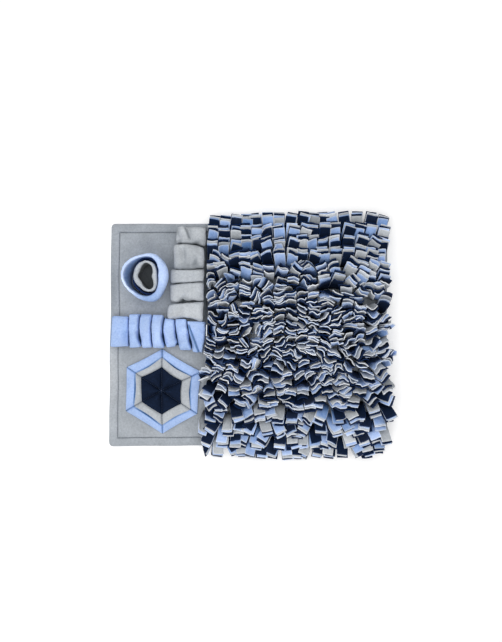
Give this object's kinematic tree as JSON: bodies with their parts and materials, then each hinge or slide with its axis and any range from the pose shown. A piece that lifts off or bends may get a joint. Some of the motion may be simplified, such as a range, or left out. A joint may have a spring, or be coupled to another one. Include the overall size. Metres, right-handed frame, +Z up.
{
  "type": "snuffle mat",
  "caption": "Hemmed fleece snuffle mat with a dense field of fleece strips, two rows of sewn loops, a nest of soft cups and a layered pocket flower.",
  "frame": {"origin": "centre of the mat's flat underside", "axes": "+Z up from the surface the mat lies on; +X along the longer side, from the cups, loops and flower towards the field of strips; +Y along the shorter side, from the flower towards the cups"},
  "size_m": [0.4991, 0.4349, 0.0555],
  "materials": {
    "mat_grey": "matt mid-grey fleece",
    "light_grey": "matt light grey fleece",
    "light_blue": "matt light blue fleece",
    "navy": "matt navy fleece",
    "strips": "matt fleece strips in light blue, light grey and navy"
  },
  "bodies": {
    "root": {"mat": "mat_grey", "cup_outer": "light_blue", "cup_middle": "navy", "cup_inner": "light_grey", "grey_loops": "light_grey", "blue_loops": "light_blue", "flower_large": "light_blue", "flower_medium": "light_grey", "flower_small": "navy", "strip_field": "strips"}
  },
  "joints": []
}
